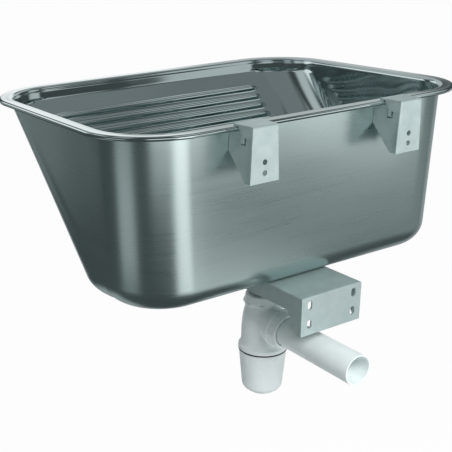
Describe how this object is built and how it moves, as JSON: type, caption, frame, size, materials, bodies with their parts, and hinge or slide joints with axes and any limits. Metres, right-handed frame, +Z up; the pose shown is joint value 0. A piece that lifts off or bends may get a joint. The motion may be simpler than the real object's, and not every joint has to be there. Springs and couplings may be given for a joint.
{
  "type": "mop service sink",
  "caption": "Wall-hung stainless mop sink with washboard front, folded wall brackets, strainer waste and white bottle trap with pipe to the wall.",
  "frame": {"origin": "midway between the four upper wall holes, in the wall plane", "axes": "+X along the wall, -Y out from the wall to the user's side, +Z up"},
  "size_m": [0.54, 0.475, 0.4155],
  "materials": {
    "stainless_bowl": "brushed",
    "stainless_fittings": "satin",
    "bracket_sheet": "matt grey coated sheet",
    "grey_plastic": "matt",
    "white_plastic": "satin moulded",
    "black_rubber": "matt",
    "brass_insert": "plain"
  },
  "bodies": {
    "sink": {"basin": "stainless_bowl", "upper_bracket_left": "bracket_sheet", "upper_bracket_right": "bracket_sheet", "lower_bracket": "bracket_sheet", "strainer_plate": "stainless_fittings", "strainer_gasket": "black_rubber", "strainer_screw": "stainless_fittings", "screw_insert": "brass_insert", "waste_gasket": "black_rubber", "waste_body": "grey_plastic"},
    "trap": {"trap_body": "white_plastic", "dip_tube": "white_plastic", "dip_tube_seal": "black_rubber"},
    "inlet_seal": {"inlet_washer": "black_rubber"},
    "inlet_nut": {"inlet_nut": "white_plastic"},
    "cup_seal": {"cup_seal": "black_rubber"},
    "cup": {"trap_cup": "white_plastic"},
    "outlet_seal": {"outlet_washer": "black_rubber"},
    "outlet_nut": {"outlet_nut": "white_plastic"},
    "pipe": {"waste_pipe": "white_plastic"}
  },
  "joints": [
    {"name": "trap_swivel", "type": "hinge", "parent": "sink", "child": "trap", "pos_m": [0, -0.131, -0.2305], "axis": [0, 0, 1], "range_deg": [-90, 90]},
    {"name": "inlet_nut_travel", "type": "slide", "parent": "trap", "child": "inlet_seal", "axis": [0, 0, 1], "range_m": [0, 0.009]},
    {"name": "inlet_nut_turn", "type": "hinge", "parent": "inlet_seal", "child": "inlet_nut", "pos_m": [0, -0.131, -0.2285], "axis": [0, 0, 1], "range_deg": [0, 1080]},
    {"name": "cup_travel", "type": "slide", "parent": "trap", "child": "cup_seal", "axis": [0, 0, -1], "range_m": [0, 0.012]},
    {"name": "cup_turn", "type": "hinge", "parent": "cup_seal", "child": "cup", "pos_m": [0, -0.131, -0.335], "axis": [0, 0, -1], "range_deg": [0, 1080]},
    {"name": "outlet_nut_travel", "type": "slide", "parent": "trap", "child": "outlet_seal", "axis": [0, 1, 0], "range_m": [0, 0.009]},
    {"name": "outlet_nut_turn", "type": "hinge", "parent": "outlet_seal", "child": "outlet_nut", "pos_m": [0, -0.088, -0.2605], "axis": [0, 1, 0], "range_deg": [0, 1080]},
    {"name": "pipe_slide", "type": "slide", "parent": "trap", "child": "pipe", "axis": [0, 1, 0], "range_m": [-0.0055, 0.006]}
  ],
  "couplings": [
    {"joint": "inlet_nut_travel", "follows": "inlet_nut_turn", "m_per_rad": 0.00047746},
    {"joint": "cup_travel", "follows": "cup_turn", "m_per_rad": 0.00063662},
    {"joint": "outlet_nut_travel", "follows": "outlet_nut_turn", "m_per_rad": 0.00047746}
  ]
}
